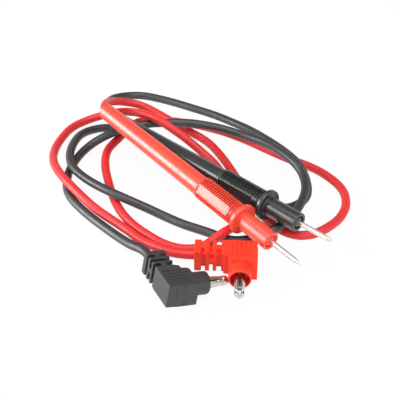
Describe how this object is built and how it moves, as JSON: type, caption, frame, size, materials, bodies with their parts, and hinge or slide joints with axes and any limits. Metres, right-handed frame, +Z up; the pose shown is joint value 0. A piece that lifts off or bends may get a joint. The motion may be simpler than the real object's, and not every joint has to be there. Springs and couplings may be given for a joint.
{
  "type": "test lead pair",
  "caption": "Red and black test leads: pen-shaped needle probes with finger guards, soft looped leads and right-angle plugs with turning spring cages.",
  "frame": {"origin": "bottom centre of the box round the two probes and the two plugs, on the surface they lie on; the soft leads are left out of that box", "axes": "+X along the red probe's handle towards its needle, seen from above; +Y towards the black probe; +Z up"},
  "size_m": [0.1514, 0.1072, 0.0223],
  "materials": {
    "red_gloss": "glossy moulding",
    "black_gloss": "satin moulding",
    "red_pvc": "soft PVC with a satin sheen",
    "black_pvc": "soft PVC with a satin sheen",
    "red_plug_plastic": "semi-gloss moulding",
    "black_plug_plastic": "fine matte moulding",
    "needle_steel": "polished plated steel",
    "nickel_plate": "bright nickel plate",
    "tinned_brass": "satin tinned brass",
    "copper": "bare copper strands",
    "solder": "dull solder"
  },
  "bodies": {
    "test_leads": {"red_grip_body": "red_gloss", "red_rear_barrel": "red_gloss", "red_needle": "needle_steel", "red_solder_joint": "solder", "red_handle_strands": "copper", "red_handle_wire": "red_pvc", "red_lead": "red_pvc", "red_plug_housing": "red_plug_plastic", "red_plug_insert": "red_plug_plastic", "red_plug_pin": "nickel_plate", "red_crimp_terminal": "tinned_brass", "red_plug_strands": "copper", "red_plug_wire": "red_pvc", "black_grip_body": "black_gloss", "black_rear_barrel": "black_gloss", "black_needle": "needle_steel", "black_solder_joint": "solder", "black_handle_strands": "copper", "black_handle_wire": "black_pvc", "black_lead": "black_pvc", "black_plug_housing": "black_plug_plastic", "black_plug_insert": "black_plug_plastic", "black_plug_pin": "nickel_plate", "black_crimp_terminal": "tinned_brass", "black_plug_strands": "copper", "black_plug_wire": "black_pvc"},
    "red_cage": {"red_spring_cage": "nickel_plate"},
    "black_cage": {"black_spring_cage": "nickel_plate"}
  },
  "joints": [
    {"name": "red_cage_turn", "type": "hinge", "parent": "test_leads", "child": "red_cage", "pos_m": [0.05076, -0.00608, 0.0048], "axis": [0.7254, -0.6884, 0], "continuous": true},
    {"name": "black_cage_turn", "type": "hinge", "parent": "test_leads", "child": "black_cage", "pos_m": [0.0427, -0.01378, 0.00382], "axis": [0.2713, 0.9398, -0.2079], "continuous": true}
  ]
}
